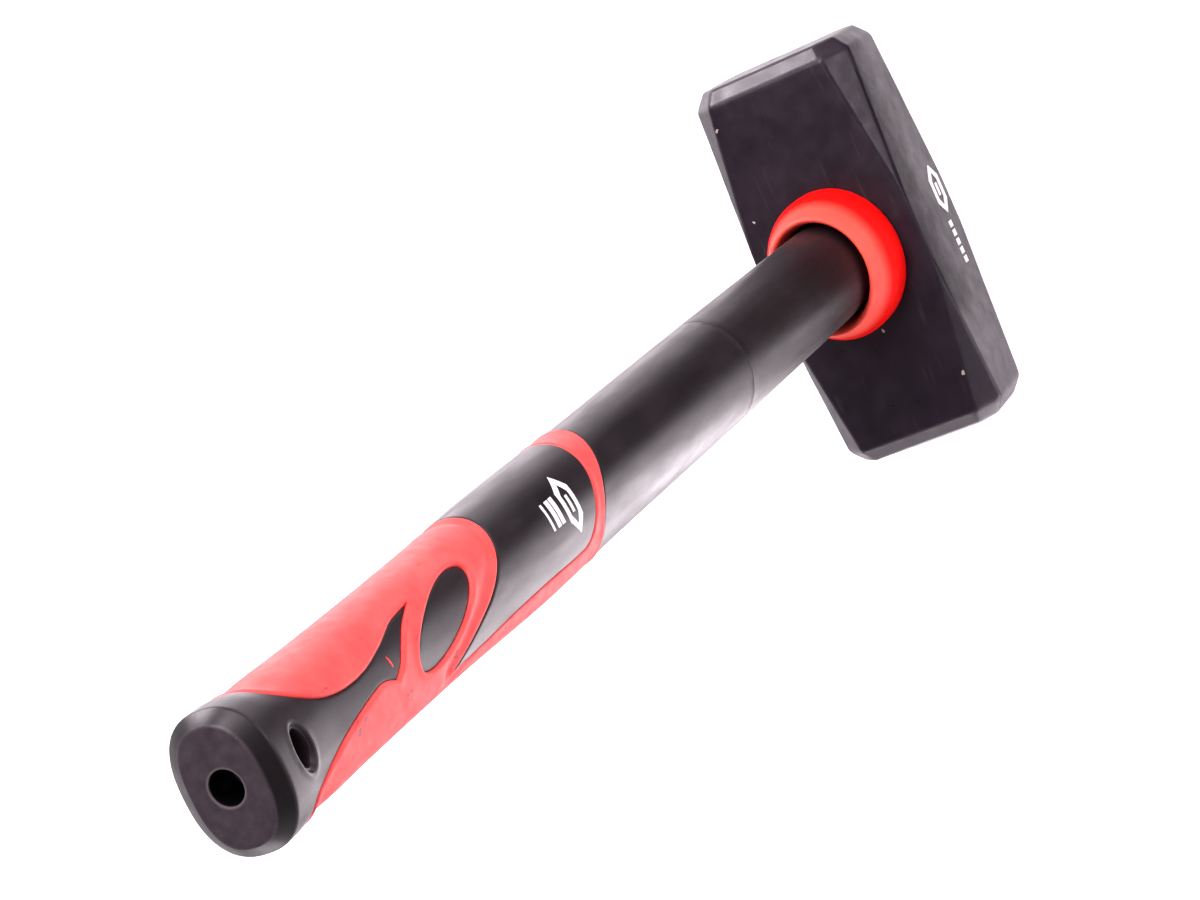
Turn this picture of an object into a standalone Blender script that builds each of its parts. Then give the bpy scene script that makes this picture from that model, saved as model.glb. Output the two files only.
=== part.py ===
"""Lump hammer: forged head on a fibreglass-cored, two-component plastic handle.

Frame: metres, +Z up. The hammer stands on its crown, handle up. The origin is the
centre of the crown face, +X runs along the head towards one strike face, +Y is the
outward normal of one cheek, and +Z runs along the handle to the butt.
All driving dimensions below are in millimetres.
"""
import math

import bmesh
import bpy

MM = 0.001
GAP = 0.3                  # clearance between neighbouring pieces
OVERCUT = 1.0              # how far a cutting shape reaches past what it cuts
AROUND = 64                # points around each handle section
OUTLINE_STEPS = 3          # straight pieces between two points of a smooth outline
PAD_STEPS = 28             # sides of the oval pad's outline
HOLE_STEPS = 32            # sides of the hanging hole
SHARP_DEGREES = 30.0       # edges that turn more than this are shaded sharp
FLAT_DEGREES = 0.5         # faces that turn less than this are one face
MITRE_LIMIT = 0.5          # keeps the corners of a grown outline from running away

# Head
HEAD_LENGTH = 110.0        # between strike faces, along X
HEAD_WIDTH = 46.6          # across the cheeks, along Y
HEAD_HEIGHT = 36.0         # crown to underside, along Z
END_CHAMFER_LENGTH = 4.2   # strike-face chamfer, measured along X
END_CHAMFER_INSET = 3.4    # strike-face chamfer, measured across
EDGE_FACET_Y = 6.2         # long-edge facet at the strike end, across the cheeks
EDGE_FACET_Z = 6.8         # long-edge facet at the strike end, along the handle
FACET_END_X = 6.0          # where the long-edge facets run out, from mid-length
OCTAGON_MITRE = 22.5       # half the turn between neighbouring sides of the strike face
EYE_CROWN = (12.4, 10.2)   # eye semi-axes (X, Y) at the crown
EYE_UNDER = (11.0, 8.8)    # eye semi-axes at the underside

# Core rod and its potting
ROD_RADIUS = 7.0
ROD_START_Z = 1.2
ROD_END_Z = 338.0
RESIN_RECESS = 0.8         # resin surface below the crown
RESIN_TOP_Z = 35.7

# Handle sections: (z, half width X, half width Y, superellipse exponent)
SLEEVE_START_Z = HEAD_HEIGHT + GAP
SEAM_Z = 148.0             # end of the overstrike sleeve
BUTT_RIM_Z = 378.8
BUTT_FACE_Z = 381.0
SHAFT_A = 13.0
SHAFT_B = 11.0
HANDLE_SECTIONS = [
    (148.3, 13.0, 11.0, 2.0),
    (190.0, 12.95, 10.9, 2.0),
    (228.0, 12.9, 10.7, 2.0),
    (250.0, 13.0, 10.6, 2.05),
    (268.0, 12.95, 10.5, 2.1),
    (284.0, 12.6, 10.2, 2.1),
    (300.0, 12.3, 9.9, 2.15),
    (318.0, 12.1, 9.6, 2.2),
    (336.0, 12.0, 9.4, 2.25),
    (350.0, 12.05, 9.35, 2.3),
    (362.0, 12.2, 9.5, 2.35),
    (372.0, 12.45, 9.8, 2.4),
    (BUTT_RIM_Z, 12.6, 10.0, 2.4),
]
BUTT_FACE = (10.3, 6.9, 2.5)
AXIAL_HOLE_RADIUS = 3.1

# Hanging hole, across the butt along Y
HANG_Z = 371.4
HANG_HALF_X = 3.8
HANG_HALF_Z = 2.6
HANG_LIP_HALF_X = 4.9
HANG_LIP_HALF_Z = 3.5
HANG_LIP_Y = 8.6           # floor of the shallow recess round the hanging hole

# Collar: (z, half width X, half width Y), outside and inside
COLLAR_OUTSIDE = [
    (36.3, 19.3, 16.7), (37.6, 20.0, 17.4), (44.6, 19.95, 17.35), (46.6, 19.3, 16.7),
    (51.5, 17.45, 14.9), (54.8, 16.5, 14.0), (55.8, 15.6, 13.2),
]
COLLAR_INSIDE = [
    (55.8, 14.9, 12.5), (54.6, 14.3, 12.0), (50.0, 13.5, 11.5), (36.3, 13.3, 11.3),
]

# Soft overmould
SOFT_THICKNESS = 1.6
SOFT_START_Z = 226.0
SOFT_END_Z = 376.6
DRAW = 20.0                # half length of the window prisms along Y
SIDE = 15.0                # X beyond which there is no handle
TOP = 390.0                # Z above the whole handle
BELOW = 200.0              # Z below the whole overmould

# Outlines of the hard plastic, as seen along Y. Each is a list of smooth runs of
# (x, z) points; consecutive runs meet at a corner.
FRONT_OUTLINE = [
    [(-SIDE, 230.4), (-10.4, 233.0), (-6.0, 236.2), (-1.0, 240.1), (3.0, 242.8), (7.0, 244.6),
     (SIDE, 244.9)],
    [(SIDE, 244.9), (SIDE, BELOW)],
    [(SIDE, BELOW), (-SIDE, BELOW)],
    [(-SIDE, BELOW), (-SIDE, 230.4)],
]
PANEL_OUTLINE = [
    [(-SIDE, 241.6), (-9.9, 242.0), (-5.0, 243.4), (0.0, 246.0), (4.5, 249.4), (7.2, 253.0), (7.9, 258.0),
     (7.7, 272.0), (7.9, 290.0), (8.4, 304.0), (8.6, 315.4)],
    [(8.6, 315.4), (7.3, 314.6)],
    [(7.3, 314.6), (4.4, 304.6), (2.2, 298.4), (-0.8, 293.0), (-4.6, 289.0), (-9.4, 286.6), (-SIDE, 286.2)],
    [(-SIDE, 286.2), (-SIDE, 241.6)],
]
PAD_CENTRE = (-0.8, 315.1)
PAD_SEMI_AXES = (4.6, 14.4)
PAD_TILT_DEGREES = 18.0    # of the long axis, from +Z towards +X
FLAME_OUTLINE = [
    [(-SIDE, 371.6), (-11.2, 370.8), (-7.4, 366.4), (-4.4, 360.8), (-2.8, 354.0), (-2.7, 346.0),
     (-4.2, 338.0), (-6.2, 330.4), (-7.5, 323.6)],
    [(-7.5, 323.6), (-6.1, 324.0)],
    [(-6.1, 324.0), (-4.6, 328.0), (-1.9, 331.8), (0.6, 334.6), (2.2, 337.6)],
    [(2.2, 337.6), (1.0, 341.6), (1.5, 347.0), (3.4, 355.6), (6.0, 364.4), (8.8, 371.4), (11.0, 374.2),
     (SIDE, 375.4)],
    [(SIDE, 375.4), (SIDE, TOP)],
    [(SIDE, TOP), (-SIDE, TOP)],
    [(-SIDE, TOP), (-SIDE, 371.6)],
]


def clear_objects():
    for item in list(bpy.data.objects):
        bpy.data.objects.remove(item, do_unlink=True)


def material(name, colour, roughness, metallic=0.0):
    made = bpy.data.materials.new(name)
    made.use_nodes = True
    shader = made.node_tree.nodes["Principled BSDF"]
    shader.inputs["Base Color"].default_value = (*colour, 1.0)
    shader.inputs["Roughness"].default_value = roughness
    shader.inputs["Metallic"].default_value = metallic
    return made


def object_from_bmesh(name, mesh_data, finish=None):
    bmesh.ops.recalc_face_normals(mesh_data, faces=mesh_data.faces)
    mesh = bpy.data.meshes.new(name)
    mesh_data.to_mesh(mesh)
    mesh_data.free()
    made = bpy.data.objects.new(name, mesh)
    bpy.context.scene.collection.objects.link(made)
    if finish is not None:
        mesh.materials.append(finish)
        mesh.shade_smooth()
        mesh.set_sharp_from_angle(angle=math.radians(SHARP_DEGREES))
    return made


def section_ring(z, half_x, half_y, exponent=2.0):
    """Points of a superellipse at height z, counter-clockwise, in metres."""
    points = []
    for step in range(AROUND):
        angle = 2.0 * math.pi * step / AROUND
        cosine = math.cos(angle)
        sine = math.sin(angle)
        x = math.copysign(abs(cosine) ** (2.0 / exponent), cosine) * half_x
        y = math.copysign(abs(sine) ** (2.0 / exponent), sine) * half_y
        points.append((x * MM, y * MM, z * MM))
    return points


def add_rings(mesh_data, sections):
    """Rings of vertices joined by quads; returns the first and last ring."""
    rings = []
    for section in sections:
        rings.append([mesh_data.verts.new(point) for point in section_ring(*section)])
    for lower, upper in zip(rings, rings[1:]):
        for step in range(AROUND):
            after = (step + 1) % AROUND
            mesh_data.faces.new((lower[step], lower[after], upper[after], upper[step]))
    return rings[0], rings[-1]


def solid_loft(name, sections, finish=None):
    mesh_data = bmesh.new()
    first, last = add_rings(mesh_data, sections)
    mesh_data.faces.new(first)
    mesh_data.faces.new(last)
    return object_from_bmesh(name, mesh_data, finish)


def hollow_loft(name, outside, inside, finish=None):
    """A tube between two lofts that start and end at the same heights."""
    mesh_data = bmesh.new()
    outer_first, outer_last = add_rings(mesh_data, outside)
    inner_first, inner_last = add_rings(mesh_data, inside)
    for outer, inner in ((outer_first, inner_first), (outer_last, inner_last)):
        for step in range(AROUND):
            after = (step + 1) % AROUND
            mesh_data.faces.new((outer[step], outer[after], inner[after], inner[step]))
    return object_from_bmesh(name, mesh_data, finish)


def curve_point(before, start, end, after, share):
    """Catmull-Rom point between start and end."""
    values = []
    for p0, p1, p2, p3 in zip(before, start, end, after):
        slope = (p2 - p0) * share
        square = (2.0 * p0 - 5.0 * p1 + 4.0 * p2 - p3) * share ** 2
        cube = (3.0 * p1 - p0 - 3.0 * p2 + p3) * share ** 3
        values.append(p1 + 0.5 * (slope + square + cube))
    return tuple(values)


def outline_points(runs):
    """A closed polygon through smooth runs that meet at corners."""
    polygon = []
    for run in runs:
        padded = [run[0]] + run + [run[-1]]
        for index in range(len(run) - 1):
            pieces = OUTLINE_STEPS if len(run) > 2 else 1
            for step in range(pieces):
                polygon.append(curve_point(*padded[index:index + 4], step / pieces))
    return polygon


def pad_points():
    tilt = math.radians(PAD_TILT_DEGREES)
    polygon = []
    for step in range(PAD_STEPS):
        angle = 2.0 * math.pi * step / PAD_STEPS
        across = PAD_SEMI_AXES[0] * math.cos(angle)
        along = PAD_SEMI_AXES[1] * math.sin(angle)
        x = PAD_CENTRE[0] + across * math.cos(tilt) + along * math.sin(tilt)
        z = PAD_CENTRE[1] - across * math.sin(tilt) + along * math.cos(tilt)
        polygon.append((x, z))
    return polygon


def signed_area(polygon):
    total = 0.0
    for (x0, z0), (x1, z1) in zip(polygon, polygon[1:] + polygon[:1]):
        total += x0 * z1 - x1 * z0
    return total / 2.0


def grown(polygon, distance):
    """The polygon with each side moved outwards; a negative distance shrinks it."""
    turn = 1.0 if signed_area(polygon) > 0.0 else -1.0
    result = []
    count = len(polygon)
    for index in range(count):
        x0, z0 = polygon[index - 1]
        x1, z1 = polygon[index]
        x2, z2 = polygon[(index + 1) % count]
        first = (z1 - z0, x0 - x1)
        second = (z2 - z1, x1 - x2)
        length_1 = math.hypot(*first)
        length_2 = math.hypot(*second)
        nx = turn * (first[0] / length_1 + second[0] / length_2)
        nz = turn * (first[1] / length_1 + second[1] / length_2)
        squared = max(nx * nx + nz * nz, MITRE_LIMIT)
        result.append((x1 + 2.0 * distance * nx / squared, z1 + 2.0 * distance * nz / squared))
    return result


def cutter(made):
    made.hide_render = True
    made.display_type = "WIRE"
    return made


def window_prism(name, polygon):
    """A prism through the handle along Y, with the given (x, z) outline."""
    mesh_data = bmesh.new()
    near = [mesh_data.verts.new((x * MM, -DRAW * MM, z * MM)) for x, z in polygon]
    far = [mesh_data.verts.new((x * MM, DRAW * MM, z * MM)) for x, z in polygon]
    mesh_data.faces.new(near)
    mesh_data.faces.new(far)
    count = len(polygon)
    for index in range(count):
        after = (index + 1) % count
        mesh_data.faces.new((near[index], near[after], far[after], far[index]))
    return cutter(object_from_bmesh(name, mesh_data))


def cross_hole(name, half_x, half_z, start_y, end_y):
    """An oval prism along Y at the hanging hole's height."""
    mesh_data = bmesh.new()
    rings = []
    for y in (start_y, end_y):
        ring = []
        for step in range(HOLE_STEPS):
            angle = 2.0 * math.pi * step / HOLE_STEPS
            x = half_x * math.cos(angle)
            z = HANG_Z + half_z * math.sin(angle)
            ring.append(mesh_data.verts.new((x * MM, y * MM, z * MM)))
        rings.append(ring)
        mesh_data.faces.new(ring)
    for step in range(HOLE_STEPS):
        after = (step + 1) % HOLE_STEPS
        mesh_data.faces.new((rings[0][step], rings[0][after], rings[1][after], rings[1][step]))
    return cutter(object_from_bmesh(name, mesh_data))


def cut(target, tool):
    modifier = target.modifiers.new("cut " + tool.name, "BOOLEAN")
    modifier.operation = "DIFFERENCE"
    modifier.solver = "EXACT"
    modifier.object = tool


def handle_section(z, inset=0.0):
    """The handle's outer section at height z, reduced all round by inset."""
    for lower, upper in zip(HANDLE_SECTIONS, HANDLE_SECTIONS[1:]):
        if z <= upper[0]:
            break
    share = (z - lower[0]) / (upper[0] - lower[0])
    half_x, half_y, exponent = (low + (high - low) * share for low, high in zip(lower[1:], upper[1:]))
    return (z, half_x - inset, half_y - inset, exponent)


def soft_sections(inset, margin):
    """Sections of the overmould's shell between its first and last height."""
    heights = [SOFT_START_Z - margin]
    heights += [section[0] for section in HANDLE_SECTIONS if SOFT_START_Z < section[0] < SOFT_END_Z]
    heights.append(SOFT_END_Z + margin)
    return [handle_section(z, inset) for z in heights]


def window_polygons():
    return {
        "front": outline_points(FRONT_OUTLINE),
        "panel": outline_points(PANEL_OUTLINE),
        "pad": pad_points(),
        "flame": outline_points(FLAME_OUTLINE),
    }


def head_corners():
    """The head's corner points in millimetres; its faces are their convex hull."""
    half_length = HEAD_LENGTH / 2.0
    half_width = HEAD_WIDTH / 2.0
    shoulder_x = half_length - END_CHAMFER_LENGTH
    mitre = END_CHAMFER_INSET * math.tan(math.radians(OCTAGON_MITRE))
    points = []
    for side_x in (-1, 1):
        for side_y in (-1, 1):
            for base_z, up in ((0.0, 1.0), (HEAD_HEIGHT, -1.0)):
                corner = [
                    (FACET_END_X, half_width, 0.0),
                    (shoulder_x, half_width - EDGE_FACET_Y, 0.0),
                    (shoulder_x, half_width, EDGE_FACET_Z),
                    (half_length, half_width - EDGE_FACET_Y - mitre, END_CHAMFER_INSET),
                    (half_length, half_width - END_CHAMFER_INSET, EDGE_FACET_Z + mitre),
                ]
                for x, y, z in corner:
                    points.append((side_x * x, side_y * y, base_z + up * z))
    return points


def build_head(finish):
    mesh_data = bmesh.new()
    for x, y, z in head_corners():
        mesh_data.verts.new((x * MM, y * MM, z * MM))
    bmesh.ops.convex_hull(mesh_data, input=mesh_data.verts)
    flat = math.radians(FLAT_DEGREES)
    bmesh.ops.dissolve_limit(mesh_data, angle_limit=flat, verts=mesh_data.verts, edges=mesh_data.edges)
    head = object_from_bmesh("head", mesh_data, finish)
    eye = solid_loft("eye_cutter", [(-OVERCUT, *EYE_CROWN), (HEAD_HEIGHT + OVERCUT, *EYE_UNDER)])
    cut(head, cutter(eye))
    return head


def eye_section(z, clearance):
    share = z / HEAD_HEIGHT
    half_x, half_y = (a + (b - a) * share for a, b in zip(EYE_CROWN, EYE_UNDER))
    return (z, half_x - clearance, half_y - clearance)


def build_eye_resin(finish):
    bore = ROD_RADIUS + GAP
    outside = [eye_section(z, GAP) for z in (RESIN_RECESS, RESIN_TOP_Z)]
    inside = [(z, bore, bore) for z in (RESIN_RECESS, RESIN_TOP_Z)]
    return hollow_loft("eye_resin", outside, inside, finish)


def build_core_rod(finish):
    sections = [(ROD_START_Z, ROD_RADIUS, ROD_RADIUS), (ROD_END_Z, ROD_RADIUS, ROD_RADIUS)]
    return solid_loft("core_rod", sections, finish)


def build_collar(finish):
    return hollow_loft("collar", COLLAR_OUTSIDE, COLLAR_INSIDE[::-1], finish)


def build_overstrike_sleeve(finish):
    bore = ROD_RADIUS + GAP
    outside = [(SLEEVE_START_Z, SHAFT_A, SHAFT_B), (SEAM_Z, SHAFT_A, SHAFT_B)]
    inside = [(SLEEVE_START_Z, bore, bore), (SEAM_Z, bore, bore)]
    return hollow_loft("overstrike_sleeve", outside, inside, finish)


def build_soft_grip(finish):
    shell = hollow_loft("soft_grip", soft_sections(0.0, 0.0), soft_sections(SOFT_THICKNESS, 0.0), finish)
    for name, polygon in window_polygons().items():
        cut(shell, window_prism("soft_" + name + "_cutter", polygon))
    return shell


def build_handle_body(finish):
    body = solid_loft("handle_body", HANDLE_SECTIONS + [(BUTT_FACE_Z, *BUTT_FACE)], finish)
    pocket_outside = soft_sections(-OVERCUT, GAP)
    pocket = hollow_loft("pocket_cutter", pocket_outside, soft_sections(SOFT_THICKNESS + GAP, GAP))
    for name, polygon in window_polygons().items():
        cut(pocket, window_prism("hard_" + name + "_cutter", grown(polygon, -GAP)))
    cut(body, cutter(pocket))
    bore = ROD_RADIUS + GAP
    bore_ends = (SEAM_Z - OVERCUT, ROD_END_Z + GAP)
    rod_bore = solid_loft("rod_bore_cutter", [(z, bore, bore) for z in bore_ends])
    cut(body, cutter(rod_bore))
    hole_ends = (ROD_END_Z - OVERCUT, TOP)
    hole = solid_loft("axial_hole_cutter", [(z, AXIAL_HOLE_RADIUS, AXIAL_HOLE_RADIUS) for z in hole_ends])
    cut(body, cutter(hole))
    cut(body, cross_hole("hang_hole_cutter", HANG_HALF_X, HANG_HALF_Z, -DRAW, DRAW))
    cut(body, cross_hole("hang_lip_front_cutter", HANG_LIP_HALF_X, HANG_LIP_HALF_Z, HANG_LIP_Y, DRAW))
    cut(body, cross_hole("hang_lip_back_cutter", HANG_LIP_HALF_X, HANG_LIP_HALF_Z, -DRAW, -HANG_LIP_Y))
    return body


def main():
    clear_objects()
    build_head(material("painted_steel", (0.045, 0.04, 0.045), 0.45))
    build_eye_resin(material("epoxy", (0.30, 0.24, 0.12), 0.35))
    build_core_rod(material("fibreglass", (0.62, 0.58, 0.36), 0.5))
    build_collar(material("red_collar_plastic", (0.85, 0.06, 0.04), 0.45))
    black = material("black_plastic", (0.03, 0.025, 0.028), 0.38)
    build_overstrike_sleeve(black)
    build_handle_body(black)
    build_soft_grip(material("red_soft_rubber", (0.85, 0.09, 0.08), 0.6))


main()
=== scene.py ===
"""Looks of the lump hammer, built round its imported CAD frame.

Lengths in this file are in millimetres unless a name says otherwise, and become metres in
add_mesh. The hammer stands on its crown: +X along the head, +Z along the handle.
"""

import math

import bmesh
import bpy
import numpy as np
from mathutils import Matrix, Vector, noise
from mathutils.geometry import delaunay_2d_cdt


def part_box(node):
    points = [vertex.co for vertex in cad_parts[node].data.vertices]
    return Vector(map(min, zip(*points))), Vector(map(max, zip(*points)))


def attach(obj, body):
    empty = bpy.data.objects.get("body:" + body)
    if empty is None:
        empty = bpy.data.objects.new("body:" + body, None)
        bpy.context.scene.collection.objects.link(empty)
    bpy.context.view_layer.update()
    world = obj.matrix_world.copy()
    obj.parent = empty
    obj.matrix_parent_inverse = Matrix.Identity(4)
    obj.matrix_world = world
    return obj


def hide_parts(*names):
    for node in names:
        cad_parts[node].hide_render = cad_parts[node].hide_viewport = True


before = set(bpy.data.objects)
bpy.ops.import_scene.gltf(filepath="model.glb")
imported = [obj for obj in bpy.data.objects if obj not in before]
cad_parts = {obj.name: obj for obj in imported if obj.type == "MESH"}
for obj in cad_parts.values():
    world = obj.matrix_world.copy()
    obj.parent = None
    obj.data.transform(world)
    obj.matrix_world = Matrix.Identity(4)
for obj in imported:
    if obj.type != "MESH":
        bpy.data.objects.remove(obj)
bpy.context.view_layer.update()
MM = 0.001


def node_box(name):
    """A node's lowest and highest corner in millimetres."""
    low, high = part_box(name)
    return np.array(low) / MM, np.array(high) / MM


HEAD_HIGH = node_box("head")[1]
SLEEVE_LOW, SLEEVE_HIGH = node_box("overstrike_sleeve")
BODY_LOW, BODY_HIGH = node_box("handle_body")
ROD_TOP = node_box("core_rod")[1][2]

# Camera and light, in metres
CAMERA_PLACE = (-0.0807, 0.2523, 0.7216)
CAMERA_FORWARD = (0.1360, -0.4411, -0.8871)
CAMERA_RIGHT = (0.4160, 0.8381, -0.3529)
CAMERA_LENS = 82.57
SENSOR_WIDTH = 36.0
FLOOR_Z = -0.0002
FLOOR_HALF = 3.0
FLOOR_GLOW = 0.80
WORLD_LOW = 1.12
WORLD_HIGH = 0.3
WORLD_FADE = (0.2, 0.65)   # sines of the elevations between which the world dims
CARD = ((-0.17, 0.032), (0.03, 0.30), 0.0003)      # low corner, high corner and height
STUDIO_TINT = (1.0, 0.90, 0.96)
# Soft boxes: name, place, target, size, radiance and whether they also light matte surfaces
SOFT_BOXES = [
    ("key", (-0.95, 0.35, 0.95), (0.0, 0.0, 0.15), (0.8, 0.8), 8.0, True),
    ("fill", (0.95, 0.15, 0.75), (0.0, 0.0, 0.15), (0.8, 0.8), 1.0, True),
    ("overhead", (-0.55, -0.06, 1.15), (0.0, 0.0, 0.1), (0.45, 0.45), 18.0, True),
    ("back", (-0.26, 1.15, 0.45), (0.0, 0.0, 0.03), (0.4, 0.3), 10.0, False),
    ("low_left", (-1.0, -0.53, 0.40), (0.0, 0.0, 0.05), (0.4, 0.4), 55.0, False),
    ("low_right", (1.05, -0.50, 0.30), (0.0, 0.0, 0.05), (0.5, 0.5), 7.0, False),
]
# Patches of the light table, which face up: name, centre, size, radiance and the same flag
TABLE_LIGHTS = [
    ("table_right", (0.18, 0.075, 0.001), (0.20, 0.21), 5.0, False),
    ("table_left", (-0.24, -0.22, 0.001), (0.36, 0.34), 1.8, True),
    ("table_near", (0.068, 0.16, 0.001), (0.05, 0.08), 4.5, False),
    ("table_far", (0.14, 0.155, 0.0015), (0.09, 0.08), 5.0, False),
]

# Head
HALF_LENGTH = HEAD_HIGH[0]
HALF_WIDTH = HEAD_HIGH[1]
HEAD_HEIGHT = HEAD_HIGH[2]
CHAMFER_LENGTH = 4.2
CHAMFER_INSET = 3.4
FACET_Y = 6.2
FACET_Z = 6.8
FACET_END_X = 6.0
OCTAGON_MITRE = math.tan(math.radians(22.5))
EYE_CROWN = (12.4, 10.2)
EYE_UNDER = (11.0, 8.8)
HEAD_GRID = 2.6            # spacing of the cuts that divide the head's faces
EDGE_ROUND = 0.85          # width of the bevel on the head's edges

# Handle: (z, half width X, half width Y, superellipse exponent)
HANDLE_SECTIONS = np.array([
    (148.3, 13.0, 11.0, 2.0),
    (190.0, 12.85, 10.9, 2.0),
    (228.0, 12.65, 10.7, 2.0),
    (250.0, 12.7, 10.6, 2.05),
    (268.0, 12.7, 10.5, 2.1),
    (284.0, 12.4, 10.2, 2.1),
    (300.0, 11.95, 9.9, 2.15),
    (318.0, 11.7, 9.6, 2.2),
    (336.0, 11.6, 9.4, 2.25),
    (350.0, 11.6, 9.35, 2.3),
    (362.0, 11.7, 9.5, 2.35),
    (368.5, 11.65, 9.65, 2.35),
    (374.0, 12.45, 9.85, 2.4),
    (378.8, 12.6, 10.0, 2.4),
])
SHAFT = (13.0, 11.0, 2.0)
BUTT_FACE = (10.3, 6.9, 2.5)
BUTT_RIM_Z = 378.8
AXIAL_HOLE = 3.1
ROD_BORE = 7.3
ROD_CLEARANCE = 0.3
SEAM_GAP = 0.08
HANG_Z = 371.4
HANG_HALF = (3.2, 2.0)     # half sizes of the oval hanging hole along X and Z
LIP_REACH = 1.34           # outer edge of the hanging hole's recess, in hole radii
LIP_WIDTH = 0.16
LIP_DEPTH = 0.55
LIP_SWELL = (0.1, 1.55, 0.12)      # height, place and width of the swell round the recess
HANG_RINGS = (0.6, 0.85, 0.95, 1.05, 1.13, 1.21, 1.29, 1.36, 1.43, 1.5, 1.6)   # in hole radii
HANG_CLEAR = 1.72          # no grid points within this many hole radii
HANG_DIVISIONS = 64
RING_SPACING = 4.0         # between the rings of the plain shaft
BODY_SHARP = 32.0          # edges of the body sharper than this many degrees stay sharp

# The grip's domain: (around, along), unrolled at MEAN_RADIUS
MEAN_RADIUS = 11.8
WIDE = math.pi * MEAN_RADIUS
GRIP_START_Z = 222.0
GRIP_END_Z = 377.4
HALF_AROUND = 60           # divisions of half a turn
GRID_STEP = 0.66
EDGE_STEP = 0.34           # spacing of points along the borders
EDGE_RINGS = (0.08, 0.2, 0.4, 0.66)
CLEAR = 0.92               # no grid points nearer to a border than this
SOFT_THICKNESS = 1.6
FLOOR_GAP = 0.02           # between the red and the black floor under it
BEYOND = 15.0              # x outside the handle

# Borders between the red and the black, as (x, z) runs that meet at corners
RING_BORDER = [
    [(-BEYOND, 230.4), (-10.4, 233.0), (-6.0, 236.2), (-1.0, 240.1), (3.0, 242.8), (7.0, 244.6),
     (BEYOND, 244.9)],
]
PANEL_BORDER = [
    [(-BEYOND, 241.6), (-9.9, 242.0), (-5.0, 243.4), (0.0, 246.0), (4.5, 249.4), (7.2, 253.0),
     (7.9, 258.0), (7.7, 272.0), (7.9, 290.0), (8.4, 304.0), (8.6, 316.6)],
    [(8.6, 316.6), (7.0, 311.6), (4.4, 304.2), (2.2, 298.4), (-0.8, 293.0), (-4.6, 289.0),
     (-9.4, 286.6), (-BEYOND, 286.2)],
]
FLAME_BORDER = [
    [(-BEYOND, 371.6), (-11.2, 370.8), (-7.4, 366.4), (-4.4, 360.8), (-2.8, 354.0), (-2.7, 346.0),
     (-4.2, 338.0), (-6.2, 330.4), (-6.8, 322.8)],
    [(-6.8, 322.8), (-4.6, 328.0), (-1.9, 331.8), (0.6, 334.6), (2.2, 337.6)],
    [(2.2, 337.6), (1.0, 341.6), (1.5, 347.0), (3.1, 355.8), (5.4, 364.5), (8.0, 370.4),
     (10.2, 371.9), (BEYOND, 372.2)],
]
PAD_CENTRE = (-0.8, 315.1)
PAD_SEMI_AXES = (4.6, 14.4)
PAD_TILT = math.radians(18.0)

# Surface heights over the handle's skin, which HANDLE_SECTIONS gives
PANEL_RISE = 0.12
PAD_SINK = 0.42
PAD_BOWL = (0.06, 3.5)     # depth, and distance from the border where it is reached
FLAME_SINK = 0.28
FLAME_END_Z = 369.0        # where the flame is level with the skin again
FLAME_FADE = 12.0          # over this length
BLACK_EDGE = (0.26, 0.4)   # depth and width of the black's rounded edge at a border
RED_RISE = 0.12
RED_EDGE = (-0.4, 0.5)     # height and width of the red's rounded edge at a border
# Height, distance from the border and width of the shapes that run beside it in the red
BEAD = (0.15, 0.8, 0.45)
HOLLOW = (0.14, 3.4, 1.7)
VALLEY = (0.5, 2.1, 1.2)   # beside the panel's end border only


# ---- mesh helpers

def add_object(name, data):
    made = bpy.data.objects.new(name, data)
    bpy.context.scene.collection.objects.link(made)
    return made


def shade(mesh, degrees=35.0):
    """Smooth shading, but for edges sharper than this."""
    mesh.shade_smooth()
    mesh.set_sharp_from_angle(angle=math.radians(degrees))


def add_mesh(name, points, faces, smooth_degrees=35.0):
    """A mesh object from points in millimetres."""
    mesh = bpy.data.meshes.new(name)
    mesh.from_pydata((np.asarray(points) * MM).tolist(), [], [list(map(int, f)) for f in faces])
    mesh.validate()
    shade(mesh, smooth_degrees)
    return add_object(name, mesh)


def finish_piece(made, material, slot=None, *nodes):
    """Gives a new piece its material and body and hides its CAD nodes; its slot is not used."""
    made.data.materials.clear()
    made.data.materials.append(material)
    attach(made, "root")
    if nodes:
        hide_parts(*nodes)
    return made


def apply_modifiers(made):
    graph = bpy.context.evaluated_depsgraph_get()
    mesh = bpy.data.meshes.new_from_object(made.evaluated_get(graph))
    made.modifiers.clear()
    made.data = mesh


def mesh_from(work, name):
    """A new object from a bmesh in millimetres, which is then freed."""
    mesh = bpy.data.meshes.new(name)
    for vert in work.verts:
        vert.co *= MM
    work.to_mesh(mesh)
    work.free()
    return add_object(name, mesh)


def subtract(made, cutter):
    """Cuts a closed object out of another and removes it."""
    modifier = made.modifiers.new("cut", "BOOLEAN")
    modifier.operation = "DIFFERENCE"
    modifier.solver = "EXACT"
    modifier.object = cutter
    apply_modifiers(made)
    bpy.data.objects.remove(cutter, do_unlink=True)


def circle(count):
    """Angles of a full turn."""
    return np.linspace(0.0, 2.0 * math.pi, count, endpoint=False)


def bell(value, centre, width):
    """A smooth hump of height 1 round a centre."""
    return np.exp(-((value - centre) / width) ** 2)


def columns(*parts):
    """Arrays or numbers side by side, as the columns of one array."""
    return np.stack(np.broadcast_arrays(*parts), axis=-1)


def smoothstep(value):
    value = np.clip(value, 0.0, 1.0)
    return value * value * (3.0 - 2.0 * value)


def roll(value):
    """Quarter circle: 1 at value 0, 0 from value 1 on."""
    value = np.clip(value, 0.0, 1.0)
    return 1.0 - np.sqrt(1.0 - (1.0 - value) ** 2)


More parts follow.
